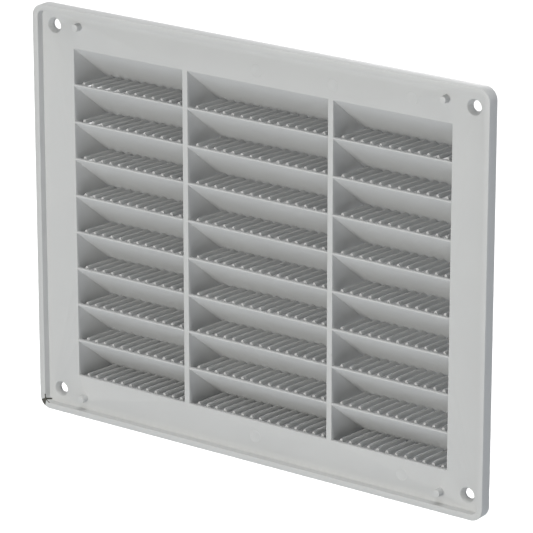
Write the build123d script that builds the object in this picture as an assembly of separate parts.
"""Louvred wall vent moulded in one piece: flange, louvre bank and fin screen.

X runs across the vent, Z runs up and Y runs from the wall to the open air.
Y = 0 is the face of the flange, where the screw heads bear.
"""
import os

from build123d import *

# Flange
width = 250.0
height = 200.0
corner_radius = 6.0
plate_thickness = 3.5
rim_height = 3.6
rim_width = 2.9
face_edge_chamfer = 0.9

# Louvre bank
side_margin = 21.0
end_margin = 19.3
column_shares = (25, 31, 25)
divider_width = 2.75
cheek_width = 2.0
row_count = 9
blade_depth = 26.0
blade_overlap = 2.0
nose_length = 3.0
sill_depth = 6.5
lip_height = 0.6
lip_depth = 1.8

# Fin screen
fins_per_column = (12, 15, 12)
fin_top_width = 0.7
fin_base_width = 2.5
fin_height = 1.7
fin_setback = 2.4
fin_rise = 1.0
fin_fall = 0.075
fin_bite = 0.6

# Fixings
screw_inset = 10.0
screw_bore = 5.0
screw_mouth = 7.5
screw_taper_depth = 2.3
peg_side_inset = 24.3
peg_end_inset = 8.5
peg_diameter = 3.6

plate_back = -plate_thickness
seat = plate_back - rim_height
opening_width = width - 2 * side_margin
opening_height = height - 2 * end_margin
opening_top = opening_height / 2
row_pitch = (opening_height + lip_height) / row_count
blade_drop = row_pitch + blade_overlap
blade_slope = blade_drop / blade_depth
nose_depth = blade_depth + nose_length


def prism(outline, x_start, x_end):
    """Solid between two X positions from an outline of (depth, rise) points.

    Depth counts from the back of the plate, rise from the top of the opening.
    """
    points = [(plate_back + depth, opening_top + rise) for depth, rise in outline]
    face = make_face(Polyline(*points, close=True))
    return extrude(Plane.YZ.offset(x_start) * face, amount=x_end - x_start)


def spans():
    """Start and end in X of each column of the louvre bank, left to right."""
    found = []
    x_start = -opening_width / 2
    clear_width = opening_width - (len(column_shares) - 1) * divider_width
    for share in column_shares:
        column_width = clear_width * share / sum(column_shares)
        found.append((x_start, x_start + column_width))
        x_start += column_width + divider_width
    return found


def flange():
    """Plate with a raised rim around its back and the louvre opening cut through."""
    seat_plane = Plane((0, seat, 0), x_dir=(1, 0, 0), z_dir=(0, 1, 0))
    outline = RectangleRounded(width, height, corner_radius)
    recess = RectangleRounded(width - 2 * rim_width, height - 2 * rim_width, corner_radius - rim_width)
    plate = extrude(seat_plane * outline, amount=-seat)
    plate = chamfer(plate.faces().sort_by(Axis.Y)[-1].edges(), face_edge_chamfer)
    plate -= extrude(seat_plane * recess, amount=rim_height)
    clear = plate_thickness + 1
    opening = [
        (-1, 0),
        (0, 0),
        (clear, -blade_slope * clear),
        (clear, -opening_height - blade_slope * (clear - lip_depth)),
        (lip_depth, -opening_height),
        (-1, -opening_height),
    ]
    return plate - prism(opening, -opening_width / 2, opening_width / 2)


def blade(depth):
    """Sloping louvre blade with a thin level lip along its back edge."""
    outline = [
        (0, 0),
        (0, lip_height),
        (lip_depth, lip_height),
        (depth, lip_height - blade_slope * (depth - lip_depth)),
        (depth, -blade_slope * depth),
    ]
    reach = opening_width / 2 + cheek_width
    return prism(outline, -reach, reach)


def webs():
    """Upright walls of one row: two end cheeks and the dividers between columns."""
    outline = [
        (0, 0),
        (nose_depth, -blade_slope * nose_depth),
        (0, -row_pitch - lip_height / 3),
    ]
    columns = spans()
    walls = [(columns[0][0] - cheek_width, columns[0][0])]
    walls += [(left[1], right[0]) for left, right in zip(columns, columns[1:])]
    walls += [(columns[-1][1], columns[-1][1] + cheek_width)]
    return [prism(outline, x_start, x_end) for x_start, x_end in walls]


def fin_end(rise):
    """Point inside the blade above where a fin's edge ends, for an edge that starts at this rise."""
    meeting = (-rise - fin_fall * fin_setback) / (blade_slope - fin_fall)
    depth = meeting + fin_bite
    return depth, rise - fin_fall * (depth - fin_setback)


def fin():
    """Tapered screen fin at X = 0, from the blade below to the underside of its own blade."""
    rear_top = lip_height + fin_rise - row_pitch
    rear_base = rear_top - fin_height
    outline = [
        (fin_setback, rear_top),
        fin_end(rear_top),
        fin_end(rear_base),
        (fin_setback, rear_base),
    ]
    side = prism(outline, -fin_base_width, fin_base_width)
    section = Polyline(
        (-fin_base_width / 2, -fin_height),
        (fin_base_width / 2, -fin_height),
        (fin_top_width / 2, 0),
        (-fin_top_width / 2, 0),
        close=True,
    )
    rear_edge = (0, plate_back + fin_setback, opening_top + rear_top)
    start = Plane(rear_edge, x_dir=(1, 0, 0), z_dir=(0, -1, 0))
    along = Vector(0, 1, -fin_fall)
    bar = extrude(start * make_face(section), amount=nose_depth, dir=along.normalized())
    return bar & side


def fins():
    """Fins of one row, spread evenly over each column."""
    one = fin()
    placed = []
    for (x_start, x_end), count in zip(spans(), fins_per_column):
        pitch = (x_end - x_start + fin_base_width) / (count + 1)
        first = x_start + pitch - fin_base_width / 2
        placed += [Pos(first + index * pitch, 0, 0) * one for index in range(count)]
    return placed


def corners(side_inset, end_inset):
    """Four mirrored places on the flange, counted inwards from its edges."""
    x = width / 2 - side_inset
    z = height / 2 - end_inset
    return [(side * x, end * z) for side in (-1, 1) for end in (-1, 1)]


def screw_holes():
    """Straight bores with a tapered mouth at the back."""
    from_back = (Align.CENTER, Align.CENTER, Align.MIN)
    taper = Cone(screw_mouth / 2, screw_bore / 2, screw_taper_depth, align=from_back)
    bore = Cylinder(screw_bore / 2, 2 * plate_thickness, align=from_back)
    tool = Rot(-90, 0, 0) * (taper + bore)
    return [Pos(x, plate_back, z) * tool for x, z in corners(screw_inset, screw_inset)]


def pegs():
    """Short round stubs that reach the plane of the rim."""
    stub = Rot(90, 0, 0) * Cylinder(peg_diameter / 2, rim_height)
    return [Pos(x, seat + rim_height / 2, z) * stub for x, z in corners(peg_side_inset, peg_end_inset)]


row = blade(nose_depth).fuse(*webs(), *fins())
bank = [Pos(0, 0, -index * row_pitch) * row for index in range(row_count)]
sill = Pos(0, 0, -row_count * row_pitch) * blade(sill_depth)
vent = flange().fuse(*bank, sill, *pegs()).cut(*screw_holes())

os.makedirs("parts", exist_ok=True)
export_step(vent, "parts/louvre_vent.step")
